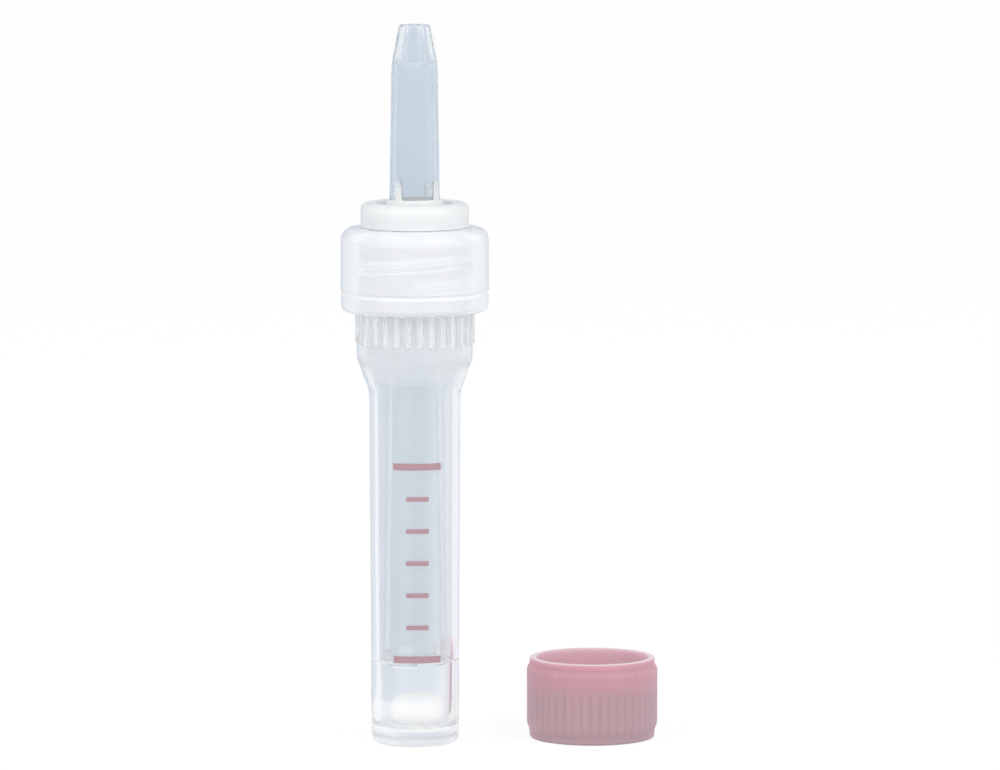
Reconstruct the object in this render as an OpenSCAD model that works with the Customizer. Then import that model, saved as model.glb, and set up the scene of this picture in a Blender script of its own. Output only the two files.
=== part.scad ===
// Small blood collection tube: a clear sample tube with a filling tube held in
// its mouth by a screw collar, an additive pellet on its floor, printed fill
// marks, and the screw cap that closes it later standing beside it.
// Millimetres, +Z up. The origin is the centre of the sample tube's foot, on
// the bench, and -Y is the printed side. Heights are above the bench unless a
// comment says otherwise.

/* [Sample tube] */
// Height of the rim
rim_height = 45.5; // [44:0.1:52]
// Outer diameter just above the foot
body_low_d = 7.94; // [7.6:0.02:8.1]
// Outer diameter just below the shoulder
body_high_d = 8.24; // [8.16:0.02:8.6]
// Wall of the body
body_wall = 0.72; // [0.6:0.01:0.85]
// Distance from the rim down to the stop face, where the thread's root ends
stop_below_rim = 6.2; // [6:0.05:7]
// Length of the wide neck from the stop face down to the shoulder
neck_length = 4.05; // [3.8:0.05:6]
// Length of the shoulder between its two corners
shoulder_length = 3.2; // [2.8:0.05:4]
// Rounding of the shoulder's two corners
shoulder_round = 2.4; // [1:0.1:2.6]
// Outer diameter of the neck between its grip ribs
neck_d = 10.54; // [10.3:0.02:11]
// Wall of the neck where the hollow is widest
neck_wall = 0.95; // [0.7:0.01:1.1]
// Inner diameter of the mouth
mouth_d = 7.8; // [7.5:0.02:8]
// Height of the thin ledge inside the body
ledge_height = 7.7; // [6.8:0.05:9]
// How far the ledge stands in from the wall above it
ledge_depth = 0.12; // [0.05:0.01:0.2]
// How far the ledge steps down in its notch
ledge_notch_drop = 0.36; // [0.2:0.02:0.6]
// Angle that the notch in the ledge covers round the tube
ledge_notch_span = 41; // [20:1:60]
// Angle of the middle of the notch in the ledge, counted from +X
ledge_notch_angle = -105; // [-180:1:180]
// Height of the floor at its centre
floor_height = 1.5; // [1.2:0.05:1.8]
// Rise of the nearly flat floor from its centre to the wall
floor_rise = 0.15; // [0.05:0.05:0.5]
// Rounding of the corner between the floor and the wall
floor_corner = 0.35; // [0.2:0.05:0.6]
// Rounding where the hollow changes its slope
hollow_round = 1.2; // [0.6:0.1:2]
// Diameter of the shallow recess under the foot
recess_d = 4.2; // [3:0.1:5]
// Depth of the recess under the foot
recess_depth = 0.35; // [0.15:0.05:0.6]
// Rounding of the foot's outer edge
foot_round = 0.8; // [0.4:0.05:1]

/* [Grip ribs on the neck] */
// Number of grip ribs
rib_count = 30; // [20:1:36]
// How far a rib stands out from the neck
rib_rise = 0.13; // [0.08:0.01:0.25]
// Radius of a rib's round back
rib_round = 0.36; // [0.3:0.01:0.4]
// Length of the ribs below the stop face
rib_length = 2.85; // [2:0.05:3.4]

/* [Screw thread] */
// Rise of the thread in one turn
thread_pitch = 2.17; // [2:0.01:2.4]
// Turns of thread on the tube, the collar and the cap
thread_turns = 1.25; // [1:0.05:1.4]
// Diameter at the root of the tube's thread
thread_root_d = 9.1; // [9:0.02:9.3]
// Diameter over the crest of the tube's thread
thread_crest_d = 9.9; // [9.7:0.02:10]
// Distance from the rim down to the lower start of the tube's thread
thread_below_rim = 3.5; // [3.2:0.05:4]
// Width of a thread ridge at its root
ridge_foot = 0.8; // [0.6:0.02:0.9]
// Width of a thread ridge at its crest
ridge_crest = 0.36; // [0.2:0.02:0.5]
// Angle where the tube's thread starts, counted from +X
thread_angle = -112; // [-180:1:180]
// Gap between the crest of one thread and the wall that it faces
thread_gap = 0.12; // [0.08:0.01:0.2]
// Gap between the flanks that meet when the collar is tight
flank_gap = 0.1; // [0.08:0.01:0.2]

/* [Filling tube] */
// Length of the nozzle above its hub
nozzle_length = 16.05; // [12:0.05:20]
// Length of the steep cone at the nozzle's tip
tip_length = 3.5; // [2.5:0.05:4.5]
// Outer diameter at the very tip
tip_d = 2.8; // [2.6:0.02:3]
// Outer diameter where the steep cone ends
tip_foot_d = 4.1; // [4:0.02:4.2]
// Bore diameter at the very tip
tip_bore_d = 1.1; // [0.8:0.02:1.3]
// Bore diameter at the foot of the tip
tip_bore_foot_d = 1.5; // [1.3:0.02:1.8]
// Diameter of the long bore at its upper end
bore_top_d = 3.12; // [3:0.02:3.2]
// Growth of the long bore's diameter in each millimetre downwards
bore_draft = 0.0309; // [0.02:0.0005:0.032]
// Wall of the long tube
stem_wall = 0.52; // [0.45:0.01:0.55]
// How far the long tube reaches down past the ledge
stem_past_ledge = 0.4; // [0.2:0.05:1]
// Diameter of the hub
hub_d = 9.8; // [9.7:0.02:10]
// Height of the hub above the rim
hub_height = 3.75; // [3.2:0.05:4.5]
// Rounding of the hub's top edge
hub_round = 0.6; // [0.3:0.05:0.7]
// Thickness of the flange that rests on the rim
flange_thickness = 0.85; // [0.6:0.05:1]
// Diameter of the groove that the collar's lip turns in
groove_d = 9; // [8.9:0.02:9.2]
// Length of the plug that reaches into the mouth
plug_length = 1.6; // [1.2:0.05:2]
// Radial gap between the plug and the mouth
plug_gap = 0.05; // [0.03:0.01:0.1]
// Diameter of the vent well around the foot of the nozzle
well_d = 7.1; // [7:0.02:7.2]
// Depth of the vent well
well_depth = 1.05; // [0.8:0.05:1.2]
// Thickness of the web under the vent well
web_thickness = 1; // [0.8:0.05:1.1]
// Wall of the plug
plug_wall = 0.5; // [0.4:0.02:0.7]
// Number of vent holes in the well
vent_count = 4; // [3:1:6]
// Diameter of a vent hole
vent_d = 0.75; // [0.6:0.05:0.8]
// Angle of the first vent hole, counted from +X
vent_angle = -44; // [-90:1:90]
// Diameter of the low ring around the foot of the nozzle
foot_ring_d = 5.1; // [5:0.02:5.2]
// Height of the low ring above the hub
foot_ring_rise = 0.3; // [0.2:0.05:0.5]
// Number of fins on the low ring
fin_count = 4; // [3:1:6]
// Thickness of a fin
fin_thickness = 0.65; // [0.4:0.05:0.8]
// Height of a fin above the hub
fin_height = 2.15; // [1.5:0.05:3]
// Angle of the first fin, counted from +X
fin_angle = -37; // [-90:1:90]
// Number of notches in the lower end
notch_count = 4; // [2:1:6]
// Height of a notch
notch_height = 1.3; // [0.6:0.05:2]
// Width of a notch
notch_width = 1.7; // [0.8:0.05:2]
// Angle of the first notch, counted from +X
notch_angle = -68.5; // [-90:0.5:90]

/* [Screw collar] */
// Outer diameter
collar_d = 13.44; // [13:0.02:14]
// Gap between the lower edge and the tube's stop face
collar_gap = 0.1; // [0.05:0.01:0.3]
// Thickness of the lip
lip_thickness = 0.6; // [0.45:0.05:0.7]
// Gap between the lip and the groove it turns in, on each side
lip_gap = 0.05; // [0.03:0.01:0.08]
// Rounding of the shoulder
collar_round = 1.1; // [0.6:0.05:1.3]
// Rounding of the lower edge
collar_foot_round = 0.6; // [0.3:0.05:0.8]
// Height of the band below the outside groove
band_height = 1.6; // [1.2:0.05:2]
// Width of the outside groove
band_groove = 0.34; // [0.2:0.02:0.6]
// Depth of the outside groove
band_groove_depth = 0.12; // [0.06:0.01:0.2]

/* [Additive pellet] */
// Width of the pellet
pellet_width = 5.14; // [4:0.02:5.4]
// Thickness of the pellet
pellet_thickness = 3; // [2.6:0.02:3.2]
// Radius of the pellet's round side
pellet_side = 1.1; // [0.8:0.05:1.2]
// How far the pellet lies off the tube's axis
pellet_offset = 0.24; // [0:0.02:0.3]

/* [Fill marks] */
// Height of the middle of the lower bar
low_bar_height = 8.1; // [7.3:0.05:9.3]
// Height of the middle of the upper bar
high_bar_height = 25.65; // [20:0.05:27]
// Height of a bar's print
bar_print = 0.62; // [0.5:0.02:1]
// Angle that a bar covers round the tube
bar_angle = 63.4; // [40:0.2:90]
// Number of ticks between the bars
tick_count = 5; // [2:1:9]
// Height of a tick's print
tick_print = 0.42; // [0.3:0.02:0.6]
// Angle that a tick covers round the tube
tick_angle = 29; // [15:0.5:40]
// Thickness of the ink
ink = 0.05; // [0.04:0.01:0.1]
// Angle of the middle of the marks, counted from +X
mark_angle = -86.5; // [-120:0.5:-60]

/* [Screw cap] */
// Distance of the cap's axis to the right of the tube's axis
cap_x = 16.1; // [14:0.1:30]
// Distance of the cap's axis behind the tube's axis
cap_y = 3.1; // [0:0.1:10]
// Height of the cap as it stands, open end up
cap_height = 7.4; // [7.2:0.05:9]
// Diameter over the cap's ribs
cap_d = 11.93; // [11.8:0.01:12.2]
// Diameter of the smooth edges above and below the ribs
cap_edge_d = 11.4; // [11.2:0.02:11.5]
// Height of each smooth edge
cap_edge = 0.55; // [0.3:0.05:0.8]
// Number of ribs on the cap
cap_rib_count = 45; // [30:1:50]
// Radius of a cap rib's round back
cap_rib_round = 0.33; // [0.3:0.01:0.36]
// Thickness of the cap's closed end
cap_plate = 1.1; // [0.8:0.05:1.5]
// Height of the sealing ring above the closed end
seal_height = 1.9; // [1.2:0.05:2.2]
// Wall of the sealing ring
seal_wall = 0.55; // [0.4:0.05:0.7]
// Distance from the open edge down to the upper end of the cap's thread
cap_thread_from_edge = 0.75; // [0.6:0.05:1]

/* [Hidden] */
$fn = 96;
// Steps in the arc of a rounded corner
CORNER_STEPS = 6;
// Rings in one turn of a thread
THREAD_STEPS = 30;
// How deep a rib or ridge is sunk into the wall that carries it
ROOT = 0.15;
// How far a cutter runs past the face that it cuts
PAST = 0.5;

// Radii of the tube
body_low_r = body_low_d / 2;
body_high_r = body_high_d / 2;
neck_r = neck_d / 2;
neck_inner_r = neck_r - neck_wall;
mouth_r = mouth_d / 2;
root_r = thread_root_d / 2;
crest_r = thread_crest_d / 2;
stop_height = rim_height - stop_below_rim;
shoulder_high = stop_height - neck_length;
shoulder_low = shoulder_high - shoulder_length;

// The collar and the cap both fit the tube's thread
nut_root_r = crest_r + thread_gap;
nut_crest_r = root_r + thread_gap;
thread_low = rim_height - thread_below_rim;
// The nut's ridge hangs below the tube's ridge by this much
ridge_drop = (ridge_foot + ridge_crest) / 2 + flank_gap;

// Heights of the filling tube and the collar
hub_top = rim_height + hub_height;
flange_top = rim_height + flange_thickness;
groove_top = flange_top + lip_thickness + 2 * lip_gap;
lip_low = flange_top + lip_gap;
collar_top = lip_low + lip_thickness;
collar_low = stop_height + collar_gap;
lip_r = groove_d / 2 + lip_gap;
tip_top = hub_top + nozzle_length;
tip_foot = tip_top - tip_length;
stem_low = ledge_height - stem_past_ledge;
web_top = hub_top - well_depth;
web_low = web_top - web_thickness;
vent_circle_r = (foot_ring_d + well_d) / 4;
plug_r = mouth_r - plug_gap;
plug_low = rim_height - plug_length;

// A point on the long bore, and on the outside of the long tube, at a height
function bore_r(z) = bore_top_d / 2 + (tip_foot - z) * bore_draft / 2;
function stem_r(z) = bore_r(z) + stem_wall;
// The outside of the drafted body at a height
function body_r(z) = body_low_r
    + (body_high_r - body_low_r) * (z - foot_round) / (shoulder_low - foot_round);

// The arc that rounds corner at, which lies between two other points
function unit(v) = v / norm(v);
function arc_corner(before, at, after, radius) =
    let (
        u = unit(before - at),
        v = unit(after - at),
        half = acos(u * v) / 2,
        centre = at + unit(u + v) * radius / sin(half),
        start = at + u * radius / tan(half) - centre,
        turn = (u[0] * v[1] - u[1] * v[0] > 0 ? -1 : 1) * (180 - 2 * half),
        first = atan2(start[1], start[0])
    )
    [for (i = [0:CORNER_STEPS])
        centre + radius * [cos(first + turn * i / CORNER_STEPS),
                           sin(first + turn * i / CORNER_STEPS)]];

// An outline from corners given as [radius from axis, height, rounding]
function outline(corners) =
    let (count = len(corners))
    [for (i = [0:count - 1])
        let (
            c = corners[i],
            before = corners[(i + count - 1) % count],
            after = corners[(i + 1) % count]
        )
        each (c[2] == 0
            ? [[c[0], c[1]]]
            : arc_corner([before[0], before[1]], [c[0], c[1]], [after[0], after[1]], c[2]))];

module turned(corners) {
    rotate_extrude() polygon(outline(corners));
}

// A helical ridge of trapezoid section that fades out at both ends.
// foot is the radius of the wall it stands on and crest that of its top.
module ridge(foot, crest, low, angle, turns) {
    steps = round(turns * THREAD_STEPS);
    inward = crest < foot ? -1 : 1;
    // The flanks keep their slope down to the sunk root
    sunk_half = ridge_foot / 2
        + ROOT * (ridge_foot - ridge_crest) / 2 / abs(crest - foot);
    rings = [for (i = [0:steps])
        let (
            share = min(1, min(i, steps - i) / (THREAD_STEPS / 10)),
            top = foot + (crest - foot) * (0.1 + 0.9 * share),
            turn = angle + 360 * i / THREAD_STEPS,
            z = low + thread_pitch * i / THREAD_STEPS,
            section = [
                [foot - inward * ROOT, -sunk_half],
                [top, -ridge_crest / 2],
                [top, ridge_crest / 2],
                [foot - inward * ROOT, sunk_half]
            ]
        )
        each [for (p = section) [p[0] * cos(turn), p[0] * sin(turn), z + p[1]]]];
    sides = 4;
    walls = [for (i = [0:steps - 1], k = [0:sides - 1])
        let (
            a = i * sides + k,
            b = i * sides + (k + 1) % sides,
            quad = [a, b, b + sides, a + sides]
        )
        inward > 0 ? quad : [quad[3], quad[2], quad[1], quad[0]]];
    start = [for (k = [0:sides - 1]) inward > 0 ? sides - 1 - k : k];
    end = [for (k = [0:sides - 1]) steps * sides + (inward > 0 ? k : sides - 1 - k)];
    polyhedron(points = rings, faces = concat([start], walls, [end]));
}

// Round-backed vertical ribs set in a ring
module ribs(count, crest, round_r, low, high) {
    for (i = [0:count - 1])
        rotate(360 * i / count)
            translate([crest - round_r, 0, low])
                cylinder(r = round_r, h = high - low, $fn = 24);
}

module sample_tube() {
    // The hollow keeps the body's wall up to the shoulder, then narrows gently to the mouth
    inner_low_r = body_r(shoulder_low) - body_wall;
    ledge_r = body_r(ledge_height) - body_wall;
    chamber_r = ledge_r - ledge_depth;
    slant = (neck_r - body_high_r) / (shoulder_high - shoulder_low);
    funnel_high = shoulder_low + (neck_inner_r - inner_low_r) / slant;
    color([0.86, 0.9, 0.93, 0.5]) {
        difference() {
            turned([
                [0, 0, 0],
                [body_r(0), 0, foot_round],
                [body_high_r, shoulder_low, shoulder_round],
                [neck_r, shoulder_high, shoulder_round],
                [neck_r, stop_height, 0],
                [root_r, stop_height, 0.15],
                [root_r, rim_height, 0.2],
                [0, rim_height, 0]
            ]);
            turned([
                [0, floor_height, 0],
                [chamber_r * 0.45, floor_height, hollow_round],
                [chamber_r, floor_height + floor_rise, floor_corner],
                [chamber_r, ledge_height, 0],
                [ledge_r, ledge_height, 0],
                [inner_low_r, shoulder_low, 2],
                [neck_inner_r, funnel_high, hollow_round],
                [mouth_r, stop_height - neck_wall, hollow_round],
                [mouth_r, rim_height + PAST, 0],
                [0, rim_height + PAST, 0]
            ]);
            rotate(ledge_notch_angle - ledge_notch_span / 2)
                rotate_extrude(angle = ledge_notch_span)
                    polygon([
                        [chamber_r - PAST, ledge_height - ledge_notch_drop],
                        [ledge_r, ledge_height - ledge_notch_drop],
                        [ledge_r, ledge_height + PAST],
                        [chamber_r - PAST, ledge_height + PAST]
                    ]);
            turned([
                [0, -PAST, 0],
                [recess_d / 2, -PAST, 0],
                [recess_d / 2, recess_depth * 0.6, 0.15],
                [0, recess_depth, 0]
            ]);
        }
        ribs(rib_count, neck_r + rib_rise, rib_round, stop_height - rib_length, stop_height);
        ridge(root_r, crest_r, thread_low, thread_angle, thread_turns);
    }
}

module filling_tube() {
    color([0.77, 0.81, 0.86, 0.6])
        difference() {
            union() {
                turned([
                    [0, stem_low, 0],
                    [stem_r(stem_low), stem_low, 0.15],
                    [stem_r(plug_low), plug_low, 0],
                    [stem_r(hub_top), hub_top, 0],
                    [stem_r(tip_foot - 1), tip_foot - 1, 1],
                    [tip_foot_d / 2, tip_foot, 1],
                    [tip_d / 2, tip_top, 0.25],
                    [0, tip_top, 0]
                ]);
                turned([
                    [0, plug_low, 0],
                    [plug_r, plug_low, 0.3],
                    [plug_r, rim_height, 0],
                    [hub_d / 2, rim_height, 0],
                    [hub_d / 2, flange_top, 0],
                    [groove_d / 2, flange_top, 0],
                    [groove_d / 2, groove_top, 0],
                    [hub_d / 2, groove_top, 0],
                    [hub_d / 2, hub_top, hub_round],
                    [foot_ring_d / 2, hub_top, 0],
                    [foot_ring_d / 2, hub_top + foot_ring_rise, 0.15],
                    [0, hub_top + foot_ring_rise, 0]
                ]);
                fins();
            }
            // The long bore and the narrow bore of the tip
            turned([
                [0, stem_low - PAST, 0],
                [bore_r(stem_low - PAST), stem_low - PAST, 0],
                [bore_r(tip_foot), tip_foot, 0],
                [tip_bore_foot_d / 2, tip_foot, 0],
                [tip_bore_d / 2, tip_top, 0],
                [tip_bore_d / 2, tip_top + PAST, 0],
                [0, tip_top + PAST, 0]
            ]);
            // The vent well above the web, and the hollow below it
            turned([
                [foot_ring_d / 2, web_top, 0],
                [well_d / 2, web_top, 0],
                [well_d / 2, hub_top + PAST, 0],
                [foot_ring_d / 2, hub_top + PAST, 0]
            ]);
            turned([
                [stem_r(plug_low - PAST), plug_low - PAST, 0],
                [plug_r - plug_wall, plug_low - PAST, 0],
                [well_d / 2, web_low, 0.15],
                [stem_r(web_low), web_low, 0]
            ]);
            for (i = [0:vent_count - 1])
                rotate(vent_angle + 360 * i / vent_count)
                    translate([vent_circle_r, 0, web_low - PAST])
                        cylinder(d = vent_d, h = web_thickness + 2 * PAST, $fn = 24);
            for (i = [0:notch_count - 1])
                rotate(notch_angle + 360 * i / notch_count)
                    translate([0, -notch_width / 2, stem_low - PAST])
                        cube([stem_r(stem_low) + PAST, notch_width, notch_height + PAST]);
        }
}

// Short upright fins that stand on the low ring at the foot of the nozzle
module fins() {
    for (i = [0:fin_count - 1])
        rotate(fin_angle + 360 * i / fin_count)
            translate([0, fin_thickness / 2, 0])
                rotate([90, 0, 0])
                    linear_extrude(fin_thickness)
                        polygon(outline([
                            [stem_r(hub_top) - ROOT, hub_top, 0],
                            [foot_ring_d / 2, hub_top, 0],
                            [foot_ring_d / 2, hub_top + fin_height, 0.2],
                            [stem_r(hub_top) - ROOT, hub_top + fin_height, 0]
                        ]));
}

module screw_collar() {
    band_top = collar_low + band_height;
    groove_r = collar_d / 2 - band_groove_depth;
    color([0.94, 0.95, 0.96, 0.7])
        union() {
            turned([
                [lip_r, lip_low, 0],
                [lip_r, collar_top, 0.15],
                [collar_d / 2 - 0.05, collar_top, collar_round],
                [collar_d / 2, band_top + band_groove, 0],
                [groove_r, band_top + band_groove, 0],
                [groove_r, band_top, 0],
                [collar_d / 2 - 0.05, band_top, 0.1],
                [collar_d / 2 - 0.05, collar_low, collar_foot_round],
                [nut_root_r + 0.2, collar_low, 0],
                [nut_root_r, collar_low + 0.2, 0],
                [nut_root_r, lip_low, 0]
            ]);
            ridge(nut_root_r, nut_crest_r, thread_low - ridge_drop, thread_angle, thread_turns);
        }
}

module additive_pellet() {
    half_w = pellet_width / 2;
    half_t = pellet_thickness / 2;
    // Radius of the pellet's flat faces, tangent to its round side
    face = ((half_w - pellet_side) * (half_w - pellet_side)
        + half_t * half_t - pellet_side * pellet_side) / (2 * (half_t - pellet_side));
    join = atan2(face - half_t, half_w - pellet_side);
    rest_z = floor_height + half_t + 0.03;
    steps = 8;
    color("white")
        translate([pellet_offset, 0, rest_z])
            rotate_extrude()
                polygon(concat(
                    [for (i = [0:steps])
                        let (a = -90 + (90 - join) * i / steps)
                        [face * cos(a), face - half_t + face * sin(a)]],
                    [for (i = [1:2 * steps - 1])
                        let (a = -join + 2 * join * i / (2 * steps))
                        [half_w - pellet_side + pellet_side * cos(a), pellet_side * sin(a)]],
                    [for (i = [0:steps])
                        let (a = join + (90 - join) * i / steps)
                        [face * cos(a), half_t - face + face * sin(a)]]
                ));
}

// A strip of ink that hugs the drafted body
module ink_strip(middle, print, span) {
    low = middle - print / 2;
    high = middle + print / 2;
    rotate(mark_angle - span / 2)
        rotate_extrude(angle = span)
            polygon([
                [body_r(low), low],
                [body_r(low) + ink, low],
                [body_r(high) + ink, high],
                [body_r(high), high]
            ]);
}

module fill_marks() {
    step = (high_bar_height - low_bar_height) / (tick_count + 1);
    color([0.73, 0.59, 0.62]) {
        ink_strip(low_bar_height, bar_print, bar_angle);
        ink_strip(high_bar_height, bar_print, bar_angle);
        for (i = [1:tick_count])
            ink_strip(low_bar_height + step * i, tick_print, tick_angle);
    }
}

module screw_cap() {
    edge_r = cap_edge_d / 2;
    seal_r = mouth_r - plug_gap;
    thread_rise = thread_pitch * thread_turns;
    color([0.8, 0.6, 0.64])
        translate([cap_x, cap_y, 0]) {
            turned([
                [0, 0, 0],
                [edge_r, 0, 0.3],
                [edge_r, cap_height, 0.15],
                [nut_root_r, cap_height, 0.15],
                [nut_root_r, cap_plate, 0.2],
                [seal_r, cap_plate, 0],
                [seal_r, cap_plate + seal_height, 0.15],
                [seal_r - seal_wall, cap_plate + seal_height, 0.1],
                [seal_r - seal_wall, cap_plate, 0.1],
                [0, cap_plate, 0]
            ]);
            ribs(cap_rib_count, cap_d / 2, cap_rib_round, cap_edge, cap_height - cap_edge);
            ridge(nut_root_r, nut_crest_r,
                cap_height - cap_thread_from_edge - thread_rise, thread_angle, thread_turns);
        }
}

sample_tube();
filling_tube();
screw_collar();
additive_pellet();
fill_marks();
screw_cap();
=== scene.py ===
# %% [markdown]
# # A small blood collection tube in clear plastic
# The part is a clear sample tube with a filling tube in its mouth, a milky screw collar that holds
# the two together, a white pellet of additive on the floor of the tube, printed fill marks, and a
# pink screw cap that stands beside it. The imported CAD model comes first, because it gives the place
# and size of every piece. Each piece made below is a smooth and finely stepped copy of one CAD node.

# %% Load the CAD model
import math

import bmesh
import bpy
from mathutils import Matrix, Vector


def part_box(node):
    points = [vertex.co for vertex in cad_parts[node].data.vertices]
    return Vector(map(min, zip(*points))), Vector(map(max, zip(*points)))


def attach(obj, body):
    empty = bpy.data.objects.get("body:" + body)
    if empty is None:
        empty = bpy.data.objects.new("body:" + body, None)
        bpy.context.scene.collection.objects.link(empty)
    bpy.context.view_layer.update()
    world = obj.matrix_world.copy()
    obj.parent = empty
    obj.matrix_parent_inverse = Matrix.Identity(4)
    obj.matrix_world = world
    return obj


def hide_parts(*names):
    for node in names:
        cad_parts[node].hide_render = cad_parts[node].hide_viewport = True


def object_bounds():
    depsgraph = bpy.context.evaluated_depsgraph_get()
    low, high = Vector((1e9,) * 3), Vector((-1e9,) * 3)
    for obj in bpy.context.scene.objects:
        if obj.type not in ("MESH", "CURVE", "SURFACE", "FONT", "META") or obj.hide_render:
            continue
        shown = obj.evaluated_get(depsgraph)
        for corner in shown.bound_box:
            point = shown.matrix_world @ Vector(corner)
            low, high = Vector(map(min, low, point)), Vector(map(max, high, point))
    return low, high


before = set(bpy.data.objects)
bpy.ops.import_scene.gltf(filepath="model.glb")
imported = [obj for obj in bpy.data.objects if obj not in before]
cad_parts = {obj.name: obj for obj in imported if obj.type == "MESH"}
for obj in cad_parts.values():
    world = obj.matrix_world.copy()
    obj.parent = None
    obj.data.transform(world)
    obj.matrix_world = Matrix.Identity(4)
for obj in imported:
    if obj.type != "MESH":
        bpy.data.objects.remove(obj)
cad_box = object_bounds()
bpy.ops.object.select_all(action="DESELECT")
scene = bpy.context.scene
MM = 0.001
TURN = 2 * math.pi
print("CAD box, mm:", [[round(value / MM, 2) for value in corner] for corner in cad_box])

# %% [markdown]
# ## The camera
# The tube is 65 mm tall, and it is looked at from 0.7 m with a long lens, so that upright walls
# stay nearly parallel. The camera stands a little above the nozzle and looks down by six degrees,
# and it aims to the right of the tube, so that the cap has room.

# %% Camera
CAMERA_AWAY = 696
CAMERA_HIGH = 109.9
AIM_RIGHT, AIM_HIGH = 7.7, 32.65
VIEW_WIDTH = 90.5
SENSOR = 36

bpy.ops.object.camera_add(location=(AIM_RIGHT * MM, -CAMERA_AWAY * MM, CAMERA_HIGH * MM))
camera = bpy.context.active_object
down = math.atan2(CAMERA_HIGH - AIM_HIGH, CAMERA_AWAY)
camera.rotation_euler = (TURN / 4 - down, 0, 0)
camera.data.sensor_width = SENSOR
camera.data.lens = SENSOR * math.hypot(CAMERA_AWAY, CAMERA_HIGH - AIM_HIGH) / VIEW_WIDTH
scene.camera = camera
print(f"the camera looks down by {math.degrees(down):.1f} degrees",
      f"through a {camera.data.lens:.0f} mm lens")


# %% [markdown]
# ## Colours and nodes
# A colour picker gives sRGB hex codes, and Blender reckons in linear light, so one function turns
# one into the other. A second one adds a shader node with its settings, values and links, and a
# third one mixes two colours with such a node.

# %% Colour and node helpers
def linear(code):
    """Turn an sRGB hex code into a linear colour."""
    shares = [int(code[i:i + 2], 16) / 255 for i in (0, 2, 4)]
    return [s / 12.92 if s <= 0.04045 else ((s + 0.055) / 1.055) ** 2.4 for s in shares] + [1]


def new_material(name):
    """Make an empty node material. Gives the material, its node tree and its output node."""
    made = bpy.data.materials.new(name)
    made.use_nodes = True
    made.node_tree.nodes.clear()
    return made, made.node_tree, made.node_tree.nodes.new("ShaderNodeOutputMaterial")


def add(tree, kind, settings=None, **inputs):
    """Add a node. An input is a value or a socket, named with _ for a space, or in0, in1 by number."""
    node = tree.nodes.new(kind)
    for name, value in (settings or {}).items():
        setattr(node, name, value)
    for name, value in inputs.items():
        key = int(name[2:]) if name[:2] == "in" and name[2:].isdigit() else name.replace("_", " ")
        if isinstance(value, bpy.types.NodeSocket):
            tree.links.new(value, node.inputs[key])
        else:
            node.inputs[key].default_value = value
    return node


def mixed(tree, share, first, second):
    """Mix two colours, each a value or a socket. Gives the socket of the mixed colour."""
    node = add(tree, "ShaderNodeMix", {"data_type": "RGBA"}, Factor=share, A=first, B=second)
    return node.outputs["Result"]


print("hex 808080 is", round(linear("808080")[0], 3), "in linear light")

# %% [markdown]
# ## Clear and milky polypropylene
# Sample tubes are moulded in polypropylene. It is clear but never quite like glass: tiny crystals in
# it scatter some light, so thin walls look faintly misty and thick ones milky, and every sharp edge,
# step and rib end lights up white. So the shader bends light like the real plastic, with an IOR of
# 1.49, and a share of it, the haze, scatters light instead. Each mesh carries a value at its points
# which makes the haze stronger where the plastic is thick, and paints a white highlight on it where
# it has an edge, a step or a rib end. Long, very shallow flow lines along the part, some 0.5 mm
# wide, keep the walls from looking like cut glass.


# %% Clear plastic
PP_IOR = 1.49
FLOW_LINE, FLOW_STRETCH = 0.5, 0.06
FROST_MILKY, FROST_ROUGH = 0.8, 0.5
MILK_AND_HIGHLIGHT_WHITE = "fdfefe"


def clear_plastic(name, tint, haze, roughness, flow_depth):
    """Polypropylene of a tint, with a share of haze, and flow lines of a depth in mm."""
    made, tree, output = new_material(name)
    place = add(tree, "ShaderNodeTexCoord").outputs["Object"]
    drawn_out = add(tree, "ShaderNodeMapping", Vector=place, Scale=(1, 1, FLOW_STRETCH))
    flow = add(tree, "ShaderNodeTexNoise", Vector=drawn_out.outputs[0], Scale=1 / (FLOW_LINE * MM),
               Detail=2)
    bump = add(tree, "ShaderNodeBump", Height=flow.outputs["Fac"], Strength=1, Distance=flow_depth * MM)
    # The point value read here makes the plastic hazier, rougher and whiter: real haze where it is thick,
    # and a painted white highlight along edges, steps, rib ends and the thread.
    haze_and_painted_light = add(tree, "ShaderNodeAttribute", {"attribute_name": "haze_and_painted_light"}).outputs["Fac"]
    from_within = add(tree, "ShaderNodeNewGeometry").outputs["Backfacing"]
    misty = add(tree, "ShaderNodeMath", {"operation": "MULTIPLY_ADD"},
                in0=from_within, in1=haze, in2=1 - haze)
    clear_of_haze_and_highlight = add(tree, "ShaderNodeMath", {"operation": "MULTIPLY_ADD"},
                    in0=haze_and_painted_light, in1=-FROST_MILKY, in2=1.0)
    clear = add(tree, "ShaderNodeMath", {"operation": "MULTIPLY"},
                in0=misty.outputs[0], in1=clear_of_haze_and_highlight.outputs[0])
    rough = add(tree, "ShaderNodeMath", {"operation": "MULTIPLY_ADD", "use_clamp": True},
                in0=haze_and_painted_light, in1=FROST_ROUGH, in2=roughness)
    colour = mixed(tree, haze_and_painted_light, linear(tint), linear(MILK_AND_HIGHLIGHT_WHITE))
    shader = add(tree, "ShaderNodeBsdfPrincipled", Base_Color=colour, IOR=PP_IOR,
                 Roughness=rough.outputs[0], Transmission_Weight=clear.outputs[0], Normal=bump.outputs[0])
    tree.links.new(shader.outputs[0], output.inputs["Surface"])
    return made


tube_plastic = clear_plastic("clear_polypropylene", "f8fafc",
                             haze=0.24, roughness=0.05, flow_depth=0.003)
nozzle_plastic = clear_plastic("tinted_polypropylene", "f4f7f9",
                               haze=0.06, roughness=0.04, flow_depth=0.002)
collar_plastic = clear_plastic("milky_polypropylene", "fbfcfe",
                               haze=0.68, roughness=0.1, flow_depth=0.002)
print("clear plastics:", [m.name for m in (tube_plastic, nozzle_plastic, collar_plastic)])

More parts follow.
